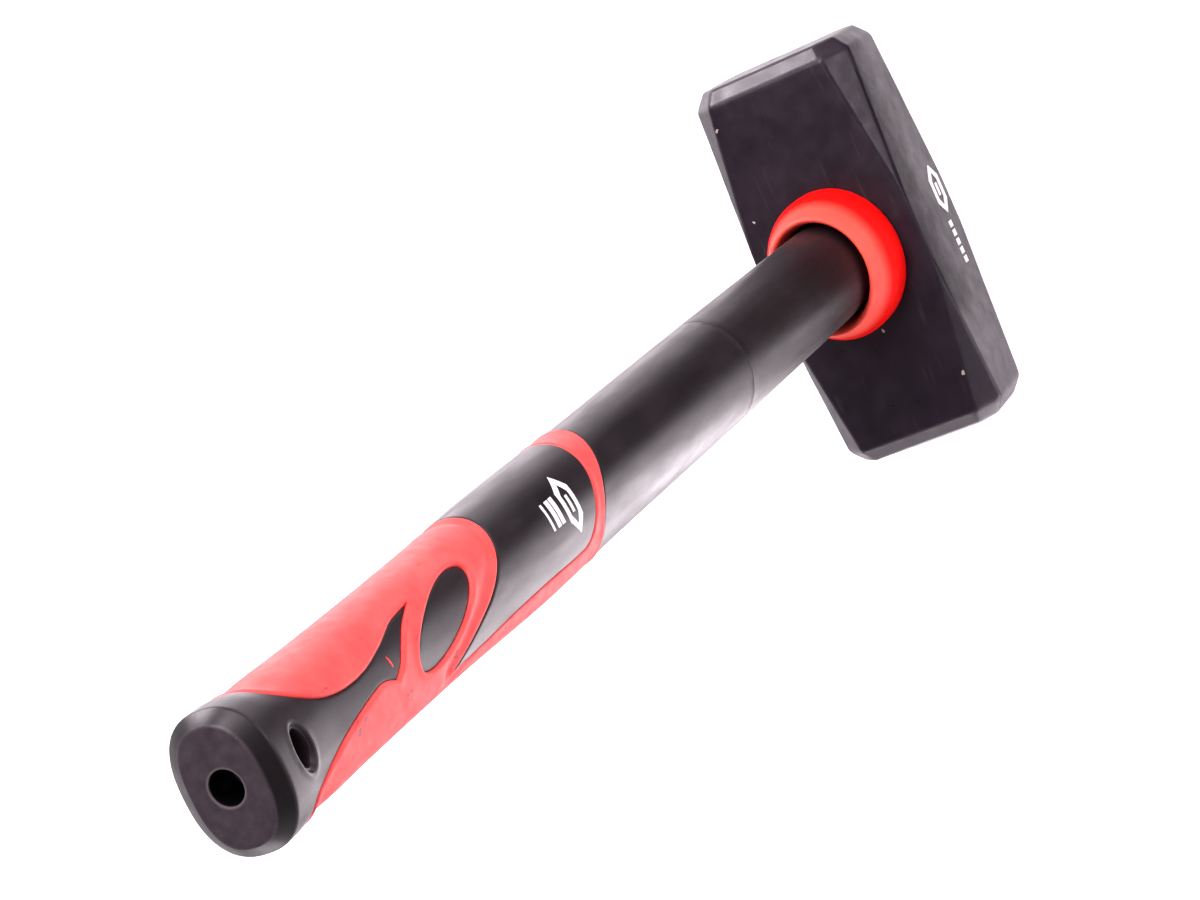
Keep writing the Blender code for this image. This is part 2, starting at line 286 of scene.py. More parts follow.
def section_at(z):
    """Half widths and exponent of the handle's skin at heights z, on smooth curves."""
    knots = HANDLE_SECTIONS[:, 0]
    values = HANDLE_SECTIONS[:, 1:]
    slopes = np.gradient(values, knots, axis=0)
    z = np.clip(np.asarray(z, float), knots[0], knots[-1])
    index = np.clip(np.searchsorted(knots, z) - 1, 0, len(knots) - 2)
    width = knots[index + 1] - knots[index]
    t = ((z - knots[index]) / width)[..., None]
    width = width[..., None]
    start = values[index] * (1.0 + 2.0 * t) * (1.0 - t) ** 2 + slopes[index] * width * t * (1.0 - t) ** 2
    end = values[index + 1] * t * t * (3.0 - 2.0 * t) + slopes[index + 1] * width * t * t * (t - 1.0)
    return start + end


def section_points(theta, half_x, half_y, exponent, height=0.0):
    """Points of a superellipse at angles theta, moved out by height along its normal."""
    cosine, sine = (np.where(np.abs(v) < 1e-9, 0.0, v) for v in (np.cos(theta), np.sin(theta)))
    across = np.sign(cosine) * np.abs(cosine) ** (2.0 / exponent)
    depth = np.sign(sine) * np.abs(sine) ** (2.0 / exponent)
    normal_x = np.sign(across) * np.abs(across) ** (exponent - 1.0) / half_x
    normal_y = np.sign(depth) * np.abs(depth) ** (exponent - 1.0) / half_y
    length = np.hypot(normal_x, normal_y)
    return across * half_x + height * normal_x / length, depth * half_y + height * normal_y / length


def skin_points(theta, z, height):
    """Points of the handle's skin, moved out by height."""
    half_x, half_y, exponent = np.moveaxis(section_at(z), -1, 0)
    x, y = section_points(theta, half_x, half_y, exponent, height)
    return columns(x, y, z)


def angle_at(x, z):
    """The angle round the handle, on its +Y half, at which the skin has this x."""
    half_x, _, exponent = np.moveaxis(section_at(z), -1, 0)
    share = np.clip(np.asarray(x) / half_x, -1.0, 1.0)
    return np.arccos(np.sign(share) * np.abs(share) ** (exponent / 2.0))


def half_turn():
    """Angles of half a section, finer next to the parting lines at its two ends."""
    fine = np.array([0.012, 0.026])
    step = math.pi / HALF_AROUND
    middle = np.arange(1, HALF_AROUND) * step
    return np.concatenate([[0.0], fine, middle, math.pi - fine[::-1], [math.pi]])


HALF_ANGLES = half_turn()
FULL_ANGLES = np.concatenate([HALF_ANGLES, 2.0 * math.pi - HALF_ANGLES[-2:0:-1]])
PARTING_HEIGHT = 0.07
PARTING_WIDTH = 0.02       # radians
END_RIDGE = 0.3            # share of the ridge that is left at a rounded end
SLEEVE_RISE = 0.02         # how far the sleeve stands over the body at the seam


def parting_ridge(theta):
    """Height of the fine ridge that the mould's parting line leaves on both edges."""
    off = np.minimum(np.abs(np.sin(theta)), 1.0)
    return PARTING_HEIGHT * bell(off, 0.0, PARTING_WIDTH)


def ring(z, half_x, half_y, exponent=2.0, height=0.0):
    return columns(*section_points(FULL_ANGLES, half_x, half_y, exponent, height), z)


class Surface:
    """Collects points and faces of one piece."""

    def __init__(self):
        self.points = []
        self.faces = []

    def add(self, points):
        first = len(self.points)
        self.points.extend(np.asarray(points).tolist())
        return list(range(first, first + len(points)))

    def bridge(self, lower, upper):
        count = len(lower)
        for index in range(count):
            after = (index + 1) % count
            self.faces.append((lower[index], lower[after], upper[after], upper[index]))

    def loft(self, rings):
        """Joins rings of points in order and returns the index lists of the first and last."""
        rows = [self.add(points) for points in rings]
        for lower, upper in zip(rows, rows[1:]):
            self.bridge(lower, upper)
        return rows[0], rows[-1]


def closed_mesh(name, surface, smooth_degrees=35.0):
    """The object of a collected surface, with its faces turned outwards."""
    made = add_mesh(name, surface.points, surface.faces, smooth_degrees)
    work = bmesh.new()
    work.from_mesh(made.data)
    bmesh.ops.recalc_face_normals(work, faces=work.faces)
    work.to_mesh(made.data)
    work.free()
    return made


def prism(name, rings):
    """A closed object through rings of points, with flat ends."""
    work = Surface()
    first, last = work.loft(rings)
    work.faces += [tuple(first), tuple(last)]
    return closed_mesh(name, work)


def rounded_profile(corners, radius, steps=4):
    """A polyline with its inner corners rounded; each point is a tuple of numbers."""
    corners = [np.array(c, float) for c in corners]
    result = [corners[0]]
    for before, corner, after in zip(corners, corners[1:], corners[2:]):
        back = min(radius / np.linalg.norm((corner - before)[:3]), 0.45)
        ahead = min(radius / np.linalg.norm((after - corner)[:3]), 0.45)
        start = corner + (before - corner) * back
        end = corner + (after - corner) * ahead
        for step in range(steps + 1):
            t = step / steps
            result.append(start * (1 - t) ** 2 + corner * 2 * t * (1 - t) + end * t * t)
    result.append(corners[-1])
    return result


# ---- borders of the grip

def catmull(run, steps=24):
    """Points along a smooth curve through a run."""
    run = [np.array(p, float) for p in run]
    padded = [run[0]] + run + [run[-1]]
    result = []
    for p0, p1, p2, p3 in zip(padded, padded[1:], padded[2:], padded[3:]):
        for step in range(steps):
            t = step / steps
            slope = (p2 - p0) * t
            square = (2.0 * p0 - 5.0 * p1 + 4.0 * p2 - p3) * t * t
            cube = (3.0 * p1 - p0 - 3.0 * p2 + p3) * t ** 3
            result.append(p1 + 0.5 * (slope + square + cube))
    result.append(run[-1])
    return np.array(result)


def to_domain(points):
    """(x, z) on the +Y half to (around, along)."""
    return columns(angle_at(points[:, 0], points[:, 1]) * MEAN_RADIUS, points[:, 1])


def cut_to_handle(points):
    """Drops the part of a curve outside the handle, but for the point where it leaves it."""
    half_x = section_at(points[:, 1])[:, 0]
    inside = np.where(np.abs(points[:, 0]) < half_x)[0]
    first, last = inside[0], inside[-1]
    kept = to_domain(points[first:last + 1])
    if first > 0:
        kept = np.vstack([[(0.0 if points[first, 0] > 0.0 else WIDE, kept[0, 1])], kept])
    if last < len(points) - 1:
        kept = np.vstack([kept, [(0.0 if points[last, 0] > 0.0 else WIDE, kept[-1, 1])]])
    return kept


def even_steps(points):
    """The same curve with points about EDGE_STEP apart."""
    lengths = np.concatenate([[0.0], np.cumsum(np.linalg.norm(np.diff(points, axis=0), axis=1))])
    count = max(2, int(round(lengths[-1] / EDGE_STEP)))
    at = np.linspace(0.0, lengths[-1], count + 1)
    return columns(*(np.interp(at, lengths, column) for column in points.T))


def border(runs):
    """One path in the domain through all runs."""
    parts = [even_steps(cut_to_handle(catmull(run))) for run in runs]
    return np.vstack([parts[0]] + [part[1:] for part in parts[1:]])


def pad_border():
    angles = np.linspace(0.0, 2.0 * math.pi, 121)
    across = PAD_SEMI_AXES[0] * np.cos(angles)
    along = PAD_SEMI_AXES[1] * np.sin(angles)
    x = PAD_CENTRE[0] + across * math.cos(PAD_TILT) + along * math.sin(PAD_TILT)
    z = PAD_CENTRE[1] - across * math.sin(PAD_TILT) + along * math.cos(PAD_TILT)
    return even_steps(to_domain(columns(x, z)))


def distance_to(path, points):
    """Distance of each point to a path."""
    start = path[:-1]
    step = path[1:] - path[:-1]
    length = np.maximum((step ** 2).sum(axis=1), 1e-12)
    best = np.full(len(points), 1e9)
    for block in range(0, len(points), 2000):
        chunk = points[block:block + 2000, None, :] - start[None]
        t = np.clip((chunk * step[None]).sum(axis=2) / length[None], 0.0, 1.0)
        gap = chunk - t[..., None] * step[None]
        best[block:block + 2000] = np.sqrt((gap ** 2).sum(axis=2)).min(axis=1)
    return best


def inside_polygon(polygon, points):
    """Even-odd test for each point."""
    inside = np.zeros(len(points), bool)
    x, y = points[:, 0], points[:, 1]
    for (x0, y0), (x1, y1) in zip(polygon, np.roll(polygon, -1, axis=0)):
        if y0 == y1:
            continue
        crosses = (y0 > y) != (y1 > y)
        inside ^= crosses & (x < (x1 - x0) * (y - y0) / (y1 - y0) + x0)
    return inside


def along_path_normals(path):
    step = np.gradient(path, axis=0)
    step /= np.linalg.norm(step, axis=1)[:, None]
    return columns(-step[:, 1], step[:, 0])


class Grip:
    """The grip's half domain: its borders, its triangles and which of them are red."""

    def __init__(self):
        self.ring = border(RING_BORDER)
        self.panel = border(PANEL_BORDER)
        self.flame = border(FLAME_BORDER)
        self.pad = pad_border()
        self.lobe = border(PANEL_BORDER[1:])     # the panel's end, with the valley beside it
        self.paths = [self.ring, self.panel, self.flame, self.pad]
        self.triangulate()
        self.classify()

    def to_border(self, points):
        """Distance of each point to the nearest border."""
        return np.min([distance_to(path, points) for path in self.paths], axis=0)

    def hole_share(self, points):
        """Distance from the hanging hole's axis, in hole radii."""
        theta = points[:, 0] / MEAN_RADIUS
        x = skin_points(theta, points[:, 1], 0.0)[:, 0]
        return np.hypot(x / HANG_HALF[0], (points[:, 1] - HANG_Z) / HANG_HALF[1])

    def free_points(self):
        """Grid points away from the borders, and the rows and edges that close the domain."""
        rows = int(round((GRIP_END_Z - GRIP_START_Z) / GRID_STEP))
        heights = np.linspace(GRIP_START_Z, GRIP_END_Z, rows + 1)
        around = HALF_ANGLES * MEAN_RADIUS
        around[-1] = WIDE
        grid = np.array([(u, z) for z in heights for u in around])
        clear = self.to_border(grid) > CLEAR
        clear |= (grid[:, 1] == heights[0]) | (grid[:, 1] == heights[-1])
        clear &= self.hole_share(grid) > HANG_CLEAR
        return grid[clear]

    def hole_points(self):
        """Rings of points round the hanging hole, where the skin dips and swells."""
        angles = circle(HANG_DIVISIONS)
        result = []
        for share in HANG_RINGS:
            x = HANG_HALF[0] * share * np.cos(angles)
            z = HANG_Z + HANG_HALF[1] * share * np.sin(angles)
            result.append(to_domain(columns(x, z)))
        return np.vstack(result)

    def ring_points(self, path, closed):
        """Points beside a border, where the surface rolls down to it."""
        normals = along_path_normals(path)
        if not closed:
            normals[0] = (0.0, 1.0)
            normals[-1] = (0.0, 1.0)
        result = []
        for reach in EDGE_RINGS:
            for side in (-1.0, 1.0):
                moved = path + side * reach * normals
                keep = self.to_border(moved) > 0.9 * reach
                middle = (moved[:, 0] > 0.1) & (moved[:, 0] < WIDE - 0.1)
                ends = np.isin(moved[:, 0], (0.0, WIDE))
                result.append(moved[keep & (middle | ends)])
        return np.vstack(result)

    def triangulate(self):
        points = [self.free_points(), self.hole_points()]
        points += [self.ring_points(path, path is self.pad) for path in self.paths]
        points = np.vstack(points)
        edges = []
        for path in self.paths:
            first = len(points)
            loop = path is self.pad
            own = path[:-1] if loop else path
            points = np.vstack([points, own])
            edges += [(first + i, first + i + 1) for i in range(len(own) - 1)]
            if loop:
                edges.append((first + len(own) - 1, first))
        result = delaunay_2d_cdt([Vector(p) for p in points.tolist()], edges, [], 0, 1e-5)
        self.points = np.array([tuple(p) for p in result[0]])
        self.points[np.abs(self.points[:, 0]) < 1e-4, 0] = 0.0
        self.points[np.abs(self.points[:, 0] - WIDE) < 1e-4, 0] = WIDE
        triangles = np.array([f for f in result[2] if len(f) == 3])
        a, b, c = (self.points[triangles[:, k]] for k in range(3))
        area = (b[:, 0] - a[:, 0]) * (c[:, 1] - a[:, 1]) - (b[:, 1] - a[:, 1]) * (c[:, 0] - a[:, 0])
        triangles = np.where((area < 0.0)[:, None], triangles[:, ::-1], triangles)
        self.triangles = triangles[np.abs(area) > 1e-9]

    def region(self, points):
        """Which of the black regions each point is in."""
        low = [(WIDE, GRIP_START_Z - 1.0), (0.0, GRIP_START_Z - 1.0)]
        high = [(0.0, GRIP_END_Z + 1.0), (WIDE, GRIP_END_Z + 1.0)]
        ring_path = self.ring if self.ring[-1, 0] == WIDE else self.ring[::-1]
        flame_path = self.flame if self.flame[-1, 0] == 0.0 else self.flame[::-1]
        return {
            "front": inside_polygon(np.vstack([ring_path, low]), points),
            "panel": inside_polygon(self.panel, points),
            "pad": inside_polygon(self.pad[:-1], points),
            "flame": inside_polygon(np.vstack([flame_path, high]), points),
        }

    def classify(self):
        centres = self.points[self.triangles].mean(axis=1)
        regions = self.region(centres)
        self.red = ~(regions["front"] | regions["panel"] | regions["pad"] | regions["flame"])
        self.owner = {name: set(self.triangles[mask].ravel().tolist()) for name, mask in regions.items()}
        self.edge = self.to_border(self.points)

    def member(self, name):
        mask = np.zeros(len(self.points), bool)
        mask[list(self.owner[name])] = True
        return mask

    def black_height(self):
        """Height of the black at each point, over the skin."""
        theta = self.points[:, 0] / MEAN_RADIUS
        z = self.points[:, 1]
        height = parting_ridge(theta)
        height[self.member("panel")] += PANEL_RISE
        bowl = PAD_BOWL[0] * smoothstep(self.edge / PAD_BOWL[1])
        height = np.where(self.member("pad"), -PAD_SINK - bowl, height)
        fade = smoothstep((FLAME_END_Z - z) / FLAME_FADE)
        height = height - np.where(self.member("flame"), FLAME_SINK * fade, 0.0)
        height -= BLACK_EDGE[0] * roll(self.edge / BLACK_EDGE[1])
        share = self.hole_share(self.points)
        lip = smoothstep((LIP_REACH - share) / LIP_WIDTH)
        return height - LIP_DEPTH * lip + LIP_SWELL[0] * bell(share, *LIP_SWELL[1:])

    def red_height(self):
        """Height of the red at each point, over the skin."""
        bead = BEAD[0] * bell(self.edge, *BEAD[1:])
        hollow = HOLLOW[0] * bell(self.edge, *HOLLOW[1:])
        height = RED_RISE + bead - hollow
        height -= VALLEY[0] * bell(distance_to(self.lobe, self.points), *VALLEY[1:])
        return height - (height - RED_EDGE[0]) * roll(self.edge / RED_EDGE[1])


def whole_turn(points, triangles):
    """Both halves of the grip: the domain's points mirrored to -Y and joined at the edges."""
    count = len(points)
    on_edge = np.isin(points[:, 0], (0.0, WIDE))
    mirrored = np.arange(count)
    mirrored[~on_edge] = count + np.arange((~on_edge).sum())
    theta = points[:, 0] / MEAN_RADIUS
    theta = np.concatenate([theta, -theta[~on_edge]])
    z = np.concatenate([points[:, 1], points[~on_edge, 1]])
    source = np.concatenate([np.arange(count), np.where(~on_edge)[0]])
    return theta, z, source, np.vstack([triangles, mirrored[triangles][:, ::-1]])


def border_edges(triangles):
    """Directed edges that only one triangle has."""
    edges = np.vstack([triangles[:, [0, 1]], triangles[:, [1, 2]], triangles[:, [2, 0]]])
    seen = set(map(tuple, edges.tolist()))
    return [(a, b) for a, b in seen if (b, a) not in seen]


def build_soft_grip(grip, material):
    """The red rubber, as a shell whose inner side follows the skin."""
    theta, z, source, triangles = whole_turn(grip.points, grip.triangles[grip.red])
    used = np.unique(triangles)
    index = np.full(len(theta), -1)
    index[used] = np.arange(len(used))
    outer = skin_points(theta[used], z[used], grip.red_height()[source[used]])
    inner = skin_points(theta[used], z[used], -SOFT_THICKNESS)
    count = len(used)
    top = index[triangles]
    faces = top.tolist() + (top[:, ::-1] + count).tolist()
    for a, b in border_edges(top):
        faces.append((b, a, a + count, b + count))
    made = add_mesh("soft_grip_skin", np.vstack([outer, inner]), faces, 50.0)
    return finish_piece(made, material, "red_soft_rubber", "soft_grip")


def seam_profile(z_flat, z_end, half, drop=0.1):
    """Sections from a flat stretch to a rounded end of a tube."""
    direction = 1.0 if z_end > z_flat else -1.0
    result = []
    for share in (0.0, 0.5, 0.8, 0.95, 1.0):
        z = z_end - direction * drop * (1.0 - share)
        inset = drop * (1.0 - math.sqrt(max(0.0, 1.0 - share ** 2)))
        result.append((z, half[0] - inset, half[1] - inset, half[2]))
    return result


def build_handle_body(grip, material):
    """The black moulding: the skin with a floor under the red, the shaft, the butt and the bores."""
    work = Surface()
    black = grip.triangles[~grip.red]
    floor = grip.triangles[grip.red]
    theta, z, source, both = whole_turn(grip.points, np.vstack([black, floor]))
    count = len(black)
    total = len(grip.triangles)
    top_faces = np.vstack([both[:count], both[total:total + count]])
    floor_faces = np.vstack([both[count:total], both[total + count:]])
    height = grip.black_height()[source]
    top_used = np.unique(top_faces)
    floor_used = np.unique(floor_faces)
    top = np.full(len(theta), -1)
    under = np.full(len(theta), -1)
    top[top_used] = work.add(skin_points(theta[top_used], z[top_used], height[top_used]))
    depth = -SOFT_THICKNESS - FLOOR_GAP
    under[floor_used] = work.add(skin_points(theta[floor_used], z[floor_used], depth))
    work.faces += top[top_faces].tolist()
    work.faces += under[floor_faces].tolist()
    for a, b in border_edges(top_faces):
        if under[a] >= 0 and under[b] >= 0:
            work.faces.append((top[b], top[a], under[a], under[b]))
    ends = []
    for end_z in (GRIP_START_Z, GRIP_END_Z):
        row = [i for i in top_used if abs(z[i] - end_z) < 0.01]
        row.sort(key=lambda i: theta[i] % (2.0 * math.pi))
        ends.append([top[i] for i in row])
    seam_z = BODY_LOW[2]
    ridge = parting_ridge(FULL_ANGLES)
    lower = seam_profile(GRIP_START_Z, seam_z, SHAFT)[::-1]
    lower = [ring(*section, height=ridge * END_RIDGE) for section in lower]
    for along in np.arange(seam_z + 3.0, GRIP_START_Z - 1.0, RING_SPACING):
        lower.append(ring(along, *section_at(along), height=ridge))
    first, last = work.loft(lower)
    work.bridge(last, ends[0])
    butt_first, butt_last = work.loft(butt_rings(ridge))
    work.bridge(ends[1], butt_first)
    bore = [
        (ROD_TOP + ROD_CLEARANCE, AXIAL_HOLE, AXIAL_HOLE),
        (ROD_TOP + ROD_CLEARANCE, ROD_BORE, ROD_BORE),
        (seam_z, ROD_BORE, ROD_BORE),
    ]
    bore_first, bore_last = work.loft([ring(*section) for section in bore])
    work.bridge(butt_last, bore_first)
    work.bridge(bore_last, first)
    made = add_mesh("handle_body_moulding", work.points, work.faces, BODY_SHARP)
    subtract(made, cross_hole_cutter())
    shade(made.data, BODY_SHARP)
    return finish_piece(made, material, "black_plastic", "handle_body")


def butt_rings(ridge):
    """Rings from the grip's last row over the rim, the bevel and the face into the axial hole."""
    face_z = BODY_HIGH[2]
    corners = [
        (GRIP_END_Z + 0.3, *section_at(GRIP_END_Z + 0.3)),
        (BUTT_RIM_Z, *HANDLE_SECTIONS[-1, 1:]),
        (face_z, *BUTT_FACE),
        (face_z - 0.05, AXIAL_HOLE + 3.0, AXIAL_HOLE + 2.0, 2.1),
    ]
    profile = rounded_profile(corners, 0.5)
    rings = [ring(*section, height=ridge * END_RIDGE) for section in profile]
    hole_edge = [(face_z - 0.05, AXIAL_HOLE + 0.9), (face_z - 0.05, AXIAL_HOLE + 0.35)]
    hole_edge += [(face_z - 0.1, AXIAL_HOLE + 0.12), (face_z - 0.4, AXIAL_HOLE), (face_z - 6.0, AXIAL_HOLE)]
    rings += [ring(z, radius, radius) for z, radius in hole_edge]
    return rings


def cross_hole_cutter():
    """An oval prism along Y that flares a little at the skin."""
    angles = circle(HANG_DIVISIONS)
    skin_y = section_at(HANG_Z)[1] - LIP_DEPTH
    rows = []
    stations = [(-skin_y - 4.0, 1.5), (-skin_y, 0.32), (-skin_y + 0.5, 0.06), (-skin_y + 1.1, 0.0)]
    stations += [(-y, grow) for y, grow in stations[::-1]]
    for y, grow in stations:
        x = (HANG_HALF[0] + grow) * np.cos(angles)
        z = HANG_Z + (HANG_HALF[1] + grow) * np.sin(angles)
        rows.append(columns(x, y, z))
    return prism("hang_cutter", rows)


def build_sleeve(material):
    """The sleeve from the head to the seam, round its bore."""
    work = Surface()
    ridge = parting_ridge(FULL_ANGLES)
    rings = [ring(SLEEVE_LOW[2], *SHAFT, height=ridge)]
    for along in np.arange(SLEEVE_LOW[2] + RING_SPACING, SLEEVE_HIGH[2] - 1.0, RING_SPACING):
        rings.append(ring(along, *SHAFT, height=ridge + SLEEVE_RISE))
    seam_z = BODY_LOW[2] - SEAM_GAP
    for section in seam_profile(SLEEVE_LOW[2], seam_z, SHAFT):
        rings.append(ring(*section, height=SLEEVE_RISE + ridge * END_RIDGE))
    first, last = work.loft(rings)
    inner_first, inner_last = work.loft([ring(seam_z, ROD_BORE, ROD_BORE),
                                         ring(SLEEVE_LOW[2], ROD_BORE, ROD_BORE)])
    work.bridge(last, inner_first)
    work.bridge(inner_last, first)
    made = add_mesh("overstrike_sleeve_moulding", work.points, work.faces)
    return finish_piece(made, material, "black_plastic", "overstrike_sleeve")


# ---- collar

COLLAR_PROFILE = [
    (36.3, 19.3, 16.7), (36.6, 19.85, 17.25), (38.0, 20.05, 17.45), (41.5, 20.1, 17.5),
    (44.6, 19.95, 17.35), (46.6, 19.3, 16.7), (48.6, 18.45, 15.85), (51.5, 17.45, 14.9),
    (54.0, 16.75, 14.25), (55.3, 16.25, 13.8), (55.8, 15.7, 13.3), (55.5, 15.1, 12.8),
    (54.4, 14.6, 12.4), (51.5, 14.1, 12.0), (47.0, 13.7, 11.6), (40.0, 13.4, 11.4),
    (36.3, 13.3, 11.3),
]


def build_collar(material):
    """A turned ring whose rounded rim stands off the shaft."""
    work = Surface()
    profile = catmull(COLLAR_PROFILE, steps=4)
    rings = [ring(z, half_x, half_y) for z, half_x, half_y in profile]
    first, last = work.loft(rings)
    work.bridge(last, first)
    return finish_piece(closed_mesh("guard_collar", work, 50.0), material, "red_collar_plastic", "collar")


# ---- head

def head_corners():
    """Corner points whose convex hull is the forging."""
    shoulder_x = HALF_LENGTH - CHAMFER_LENGTH
    mitre = CHAMFER_INSET * OCTAGON_MITRE
    corner = [
        (FACET_END_X, HALF_WIDTH, 0.0),
        (shoulder_x, HALF_WIDTH - FACET_Y, 0.0),
        (shoulder_x, HALF_WIDTH, FACET_Z),
        (HALF_LENGTH, HALF_WIDTH - FACET_Y - mitre, CHAMFER_INSET),
        (HALF_LENGTH, HALF_WIDTH - CHAMFER_INSET, FACET_Z + mitre),
    ]
    points = []
    for side_x in (-1, 1):
        for side_y in (-1, 1):
            for base_z, up in ((0.0, 1.0), (HEAD_HEIGHT, -1.0)):
                points += [(side_x * x, side_y * y, base_z + up * z) for x, y, z in corner]
    return points


def unevenness(point):
    """Inward shift of the forging's skin, at most about a fifth of a millimetre."""
    broad = noise.noise(point * 0.055 + Vector((3.1, 8.2, 1.7)))
    fine = noise.noise(point * 0.31 + Vector((7.7, 0.4, 5.2)))
    return 0.09 * broad + 0.05 * fine - 0.1


def eye_cutter():
    """A tapered oval prism that flares where it leaves the head."""
    flare = 0.7
    rows = [(-2.0, EYE_CROWN, 2.0 + flare), (0.0, EYE_CROWN, flare), (flare, EYE_CROWN, 0.0)]
    rows += [(HEAD_HEIGHT - flare, EYE_UNDER, 0.0), (HEAD_HEIGHT, EYE_UNDER, flare),
             (HEAD_HEIGHT + 2.0, EYE_UNDER, 2.0 + flare)]
    return prism("eye_cutter", [ring(z, half[0] + grow, half[1] + grow) for z, half, grow in rows])


def build_head(material):
    """The forging: a bevelled hull with its eye cut out and a slightly uneven skin."""
    work = bmesh.new()
    for point in head_corners():
        work.verts.new(point)
    bmesh.ops.convex_hull(work, input=work.verts)
    bmesh.ops.dissolve_limit(work, angle_limit=math.radians(0.5), verts=work.verts, edges=work.edges)
    bmesh.ops.bevel(work, geom=work.edges[:], offset=EDGE_ROUND, segments=3, profile=0.5,
                    affect="EDGES", clamp_overlap=True)
    bmesh.ops.recalc_face_normals(work, faces=work.faces)
    made = mesh_from(work, "forged_head")
    subtract(made, eye_cutter())
    work = bmesh.new()
    work.from_mesh(made.data)
    for vert in work.verts:
        vert.co /= MM
    bmesh.ops.dissolve_degenerate(work, dist=0.002, edges=work.edges)
    for axis, half in ((0, HALF_LENGTH), (1, HALF_WIDTH), (2, HEAD_HEIGHT)):
        normal = Vector((axis == 0, axis == 1, axis == 2))
        start = 0.0 if axis == 2 else -half
        count = int(round((half - start) / HEAD_GRID))
        for step in range(1, count):
            place = normal * (start + (half - start) * (step + 0.37) / (count + 0.5))
            everything = work.verts[:] + work.edges[:] + work.faces[:]
            bmesh.ops.bisect_plane(work, geom=everything, plane_co=place, plane_no=normal, dist=0.001)
    bmesh.ops.triangulate(work, faces=[f for f in work.faces if len(f.verts) > 4])
    bmesh.ops.recalc_face_normals(work, faces=work.faces)
    work.normal_update()
    for vert in work.verts:
        vert.co += vert.normal * unevenness(vert.co)
    bpy.data.objects.remove(made, do_unlink=True)
    made = mesh_from(work, "forged_head")
    shade(made.data)
    modifier = made.modifiers.new("flat faces stay flat", "WEIGHTED_NORMAL")
    modifier.keep_sharp = True
    apply_modifiers(made)
    return finish_piece(made, material, "painted_steel", "head")


# ---- printed marks

def ribbon(work, edge_a, edge_b, place, closed, thickness, across=3):
    """A thin printed band between two polylines of equal length, laid on a surface."""
    rows = []
    for height in (thickness, -0.05):
        for share in np.linspace(0.0, 1.0, across + 1):
            flat = edge_a + (edge_b - edge_a) * share
            rows.append(work.add(place(flat, height)))
    count = len(edge_a)
    top, bottom = rows[:across + 1], rows[across + 1:]
    section = top + bottom[::-1]
    for index in range(count if closed else count - 1):
        after = (index + 1) % count
        for a, b in zip(section, section[1:] + section[:1]):
            work.faces.append((a[index], a[after], b[after], b[index]))
    for index in () if closed else (0, count - 1):
        for k in range(across):
            work.faces.append(tuple(row[index] for row in (top[k], top[k + 1], bottom[k + 1], bottom[k])))


def hexagon(centre, half_u, half_v, steps=5):
    turns = np.radians(60.0 * np.arange(6))
    v = centre[1] + half_v * np.sin(turns) / math.sin(turns[1])
    corners = list(columns(centre[0] + half_u * np.cos(turns), v))
    points = []
    for start, end in zip(corners, corners[1:] + corners[:1]):
        points += [start + (end - start) * step / steps for step in range(steps)]
    return np.array(points)


def bar(work, low, high, place, thickness, steps=8):
    """A rectangle of print between two corners."""
    u = np.linspace(low[0], high[0], steps + 1)
    ribbon(work, columns(u, low[1]), columns(u, high[1]), place, False, thickness)


def place_on_panel(flat, height):
    theta = angle_at(flat[:, 0], flat[:, 1])
    return skin_points(theta, flat[:, 1], PANEL_RISE + height)


def place_on_cheek(flat, height):
    return columns(flat[:, 0], HALF_WIDTH - 0.1 + height, flat[:, 1])


def build_panel_mark(material):
    """A plain hexagon with a bar in it, over three bars; it stands for the maker's print."""
    work = Surface()
    thickness = 0.05
    centre = (-1.9, 256.9)
    ribbon(work, hexagon(centre, 6.2, 3.1), hexagon(centre, 4.3, 1.7), place_on_panel, True, thickness)
    bar(work, (-3.7, 256.4), (-0.1, 257.4), place_on_panel, thickness)
    for low, high in ((261.9, 263.4), (263.9, 265.4), (266.8, 267.6)):
        bar(work, (-5.2, low), (0.4, high), place_on_panel, thickness)
    return finish_piece(closed_mesh("panel_mark", work), material)


def build_cheek_mark(material):
    """The same hexagon, beside a row of five blocks."""
    work = Surface()
    thickness = 0.14
    centre = (-5.0, 8.2)
    ribbon(work, hexagon(centre, 7.0, 4.3), hexagon(centre, 5.0, 2.3), place_on_cheek, True, thickness)
    bar(work, (-6.8, 7.4), (-3.2, 9.0), place_on_cheek, thickness)
    for start in range(5):
        low_x = 4.0 + 2.6 * start
        bar(work, (low_x, 8.6), (low_x + 1.8, 11.2), place_on_cheek, thickness)
    return finish_piece(closed_mesh("cheek_mark", work), material)


# ---- small marks

SLIVER = ((-1.1, 337.3), (1.25, 0.28), -0.25)      # centre, half sizes and lean
SPECKS = [(-18.1, -18.4, 0.42), (21.7, 2.6, 0.5), (39.9, 18.2, 0.6), (-44.4, -17.4, 0.5)]  # x, y, size


def build_specks(material):
    """Bare chips in the paint of the head's underside."""
    work = Surface()
    for number, (x, y, size) in enumerate(SPECKS):
        angles = circle(9)
        wobble = 1.0 + 0.35 * np.sin(angles * 2.0 + number) + 0.2 * np.cos(angles * 3.0 + 2.0 * number)
        rows = []
        for grow, z in ((1.0, -0.3), (0.85, 0.02), (0.4, 0.06)):
            across = x + size * grow * wobble * np.cos(angles)
            rows.append(columns(across, y + size * grow * wobble * np.sin(angles), HEAD_HEIGHT - 0.05 + z))
        first, last = work.loft(rows)
        work.faces += [tuple(first[::-1]), tuple(last)]
    return finish_piece(closed_mesh("paint_chips", work), material)


